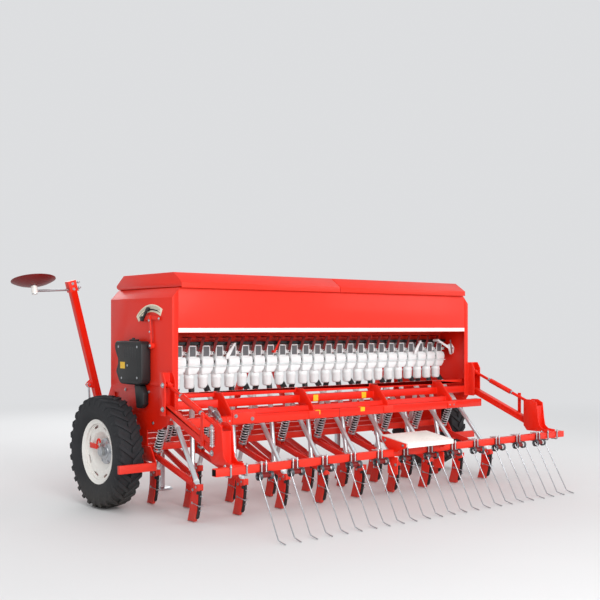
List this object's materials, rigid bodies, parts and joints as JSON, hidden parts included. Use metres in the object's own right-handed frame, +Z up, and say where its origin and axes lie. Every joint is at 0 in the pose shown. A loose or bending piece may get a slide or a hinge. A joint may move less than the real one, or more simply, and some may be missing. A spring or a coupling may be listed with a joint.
{
  "type": "seed drill",
  "caption": "Mounted seed drill: long hopper with two lids, row of seed meters, three ranks of coulters, two wheels, folding row markers and a trailing spring-tine harrow.",
  "frame": {"origin": "middle of the whole drill's footprint, on the ground", "axes": "+X to the drill's right-hand side, +Y in the direction of travel, +Z up"},
  "size_m": [4.4184, 2.4866, 1.7209],
  "materials": {
    "red_paint": "bright red gloss paint",
    "dark_red_paint": "dark red gloss paint",
    "white_plastic": "white moulded plastic",
    "white_paint": "white gloss paint",
    "black_plastic": "black moulded plastic",
    "black_paint": "black paint",
    "tyre": "black tractor tread tyre",
    "zinc_plate": "bright zinc plating, slightly dull"
  },
  "bodies": {
    "frame": {"hopper_rear_wall": "red_paint", "hopper_front_wall": "red_paint", "hopper_floor": "red_paint", "hopper_end_right": "red_paint", "hopper_end_left": "red_paint", "shutter_rail": "red_paint", "rate_lever": "red_paint", "side_frame_right": "red_paint", "side_frame_left": "red_paint", "front_beam": "red_paint", "top_link_mast": "red_paint", "rear_frame": "red_paint", "coulters_rear": "red_paint", "coulters_middle": "red_paint", "coulters_front": "red_paint", "scraper_right": "red_paint", "scraper_left": "red_paint", "marker_bracket_right": "red_paint", "marker_bracket_left": "red_paint", "harrow_bracket_right": "red_paint", "harrow_bracket_left": "red_paint", "seed_meters": "white_plastic", "rate_scale": "white_plastic", "gearbox": "black_plastic", "chain_guard": "black_plastic", "pressure_springs_rear": "zinc_plate", "pressure_springs_middle": "zinc_plate", "pressure_springs_front": "zinc_plate", "stub_axle_right": "zinc_plate", "stub_axle_left": "zinc_plate"},
    "wheel_right": {"tyre_right": "tyre", "rim_right": "white_paint"},
    "lid_right": {"lid_right": "red_paint"},
    "marker_right": {"marker_arm_right": "red_paint", "marker_axle_right": "zinc_plate"},
    "marker_disc_right": {"marker_disc_right": "dark_red_paint"},
    "marker_cylinder_right": {"marker_cylinder_right": "black_paint"},
    "marker_ram_right": {"marker_ram_right": "zinc_plate"},
    "stand_right": {"stand_right": "zinc_plate"},
    "wheel_left": {"tyre_left": "tyre", "rim_left": "white_paint"},
    "lid_left": {"lid_left": "red_paint"},
    "marker_left": {"marker_arm_left": "red_paint", "marker_axle_left": "zinc_plate"},
    "marker_disc_left": {"marker_disc_left": "dark_red_paint"},
    "marker_cylinder_left": {"marker_cylinder_left": "black_paint"},
    "marker_ram_left": {"marker_ram_left": "zinc_plate"},
    "stand_left": {"stand_left": "zinc_plate"},
    "harrow_arms": {"harrow_arm_right": "red_paint", "harrow_arm_left": "red_paint"},
    "harrow_links": {"harrow_link_right": "red_paint", "harrow_link_left": "red_paint"},
    "harrow_struts": {"harrow_strut_right": "red_paint", "harrow_strut_left": "red_paint"},
    "harrow": {"harrow_end_right": "red_paint", "harrow_end_left": "red_paint", "harrow_beam": "red_paint", "step": "white_paint"}
  },
  "joints": [
    {"name": "wheel_right_turn", "type": "hinge", "parent": "frame", "child": "wheel_right", "pos_m": [1.705, 0.58275, 0.413], "axis": [1, 0, 0], "continuous": true},
    {"name": "lid_right_open", "type": "hinge", "parent": "frame", "child": "lid_right", "pos_m": [0.7395, 0.83175, 1.625], "axis": [-1, 0, 0], "range_deg": [0, 95]},
    {"name": "marker_right_fold", "type": "hinge", "parent": "frame", "child": "marker_right", "pos_m": [1.463, 1.06175, 0.56], "axis": [0, 1, 0], "range_deg": [0, 78]},
    {"name": "marker_disc_right_turn", "type": "hinge", "parent": "marker_right", "child": "marker_disc_right", "pos_m": [2.04424, 1.0811, 1.6727], "axis": [0, 0.2419, 0.9703], "continuous": true},
    {"name": "marker_cylinder_right_swing", "type": "hinge", "parent": "frame", "child": "marker_cylinder_right", "pos_m": [1.56, 1.06175, 0.23], "axis": [0, 1, 0], "range_deg": [0, 39.5]},
    {"name": "marker_ram_right_slide", "type": "slide", "parent": "marker_cylinder_right", "child": "marker_ram_right", "axis": [0.0597, 0, 0.9982], "range_m": [-0.295, 0]},
    {"name": "stand_right_slide", "type": "slide", "parent": "frame", "child": "stand_right", "axis": [0, 0, 1], "range_m": [0, 0.3]},
    {"name": "wheel_left_turn", "type": "hinge", "parent": "frame", "child": "wheel_left", "pos_m": [-1.705, 0.58275, 0.413], "axis": [1, 0, 0], "continuous": true},
    {"name": "lid_left_open", "type": "hinge", "parent": "frame", "child": "lid_left", "pos_m": [-0.7395, 0.83175, 1.625], "axis": [-1, 0, 0], "range_deg": [0, 95]},
    {"name": "marker_left_fold", "type": "hinge", "parent": "frame", "child": "marker_left", "pos_m": [-1.463, 1.06175, 0.56], "axis": [0, -1, 0], "range_deg": [0, 78]},
    {"name": "marker_disc_left_turn", "type": "hinge", "parent": "marker_left", "child": "marker_disc_left", "pos_m": [-2.04424, 1.0811, 1.6727], "axis": [0, 0.2419, 0.9703], "continuous": true},
    {"name": "marker_cylinder_left_swing", "type": "hinge", "parent": "frame", "child": "marker_cylinder_left", "pos_m": [-1.56, 1.06175, 0.23], "axis": [0, -1, 0], "range_deg": [0, 39.5]},
    {"name": "marker_ram_left_slide", "type": "slide", "parent": "marker_cylinder_left", "child": "marker_ram_left", "axis": [-0.0597, 0, 0.9982], "range_m": [-0.295, 0]},
    {"name": "stand_left_slide", "type": "slide", "parent": "frame", "child": "stand_left", "axis": [0, 0, 1], "range_m": [0, 0.3]},
    {"name": "harrow_lift", "type": "hinge", "parent": "frame", "child": "harrow_arms", "pos_m": [0, -0.10825, 0.76], "axis": [-1, 0, 0], "range_deg": [0, 30]},
    {"name": "harrow_links_swing", "type": "hinge", "parent": "frame", "child": "harrow_links", "pos_m": [0, -0.10825, 0.925], "axis": [-1, 0, 0], "range_deg": [0, 30]},
    {"name": "harrow_tilt", "type": "hinge", "parent": "harrow_arms", "child": "harrow", "pos_m": [0, -0.70825, 0.521], "axis": [-1, 0, 0], "range_deg": [-30, 0]},
    {"name": "harrow_struts_swing", "type": "hinge", "parent": "harrow_arms", "child": "harrow_struts", "pos_m": [0, -0.57625, 0.5736], "axis": [-1, 0, 0], "range_deg": [-30, 0]}
  ],
  "couplings": [
    {"joint": "marker_cylinder_right_swing", "follows": "marker_right_fold", "ratio": 0.4987},
    {"joint": "marker_ram_right_slide", "follows": "marker_right_fold", "m_per_rad": -0.21346},
    {"joint": "marker_cylinder_left_swing", "follows": "marker_left_fold", "ratio": 0.4987},
    {"joint": "marker_ram_left_slide", "follows": "marker_left_fold", "m_per_rad": -0.21346},
    {"joint": "harrow_links_swing", "follows": "harrow_lift", "ratio": 1},
    {"joint": "harrow_tilt", "follows": "harrow_lift", "ratio": -1},
    {"joint": "harrow_struts_swing", "follows": "harrow_lift", "ratio": -1}
  ]
}
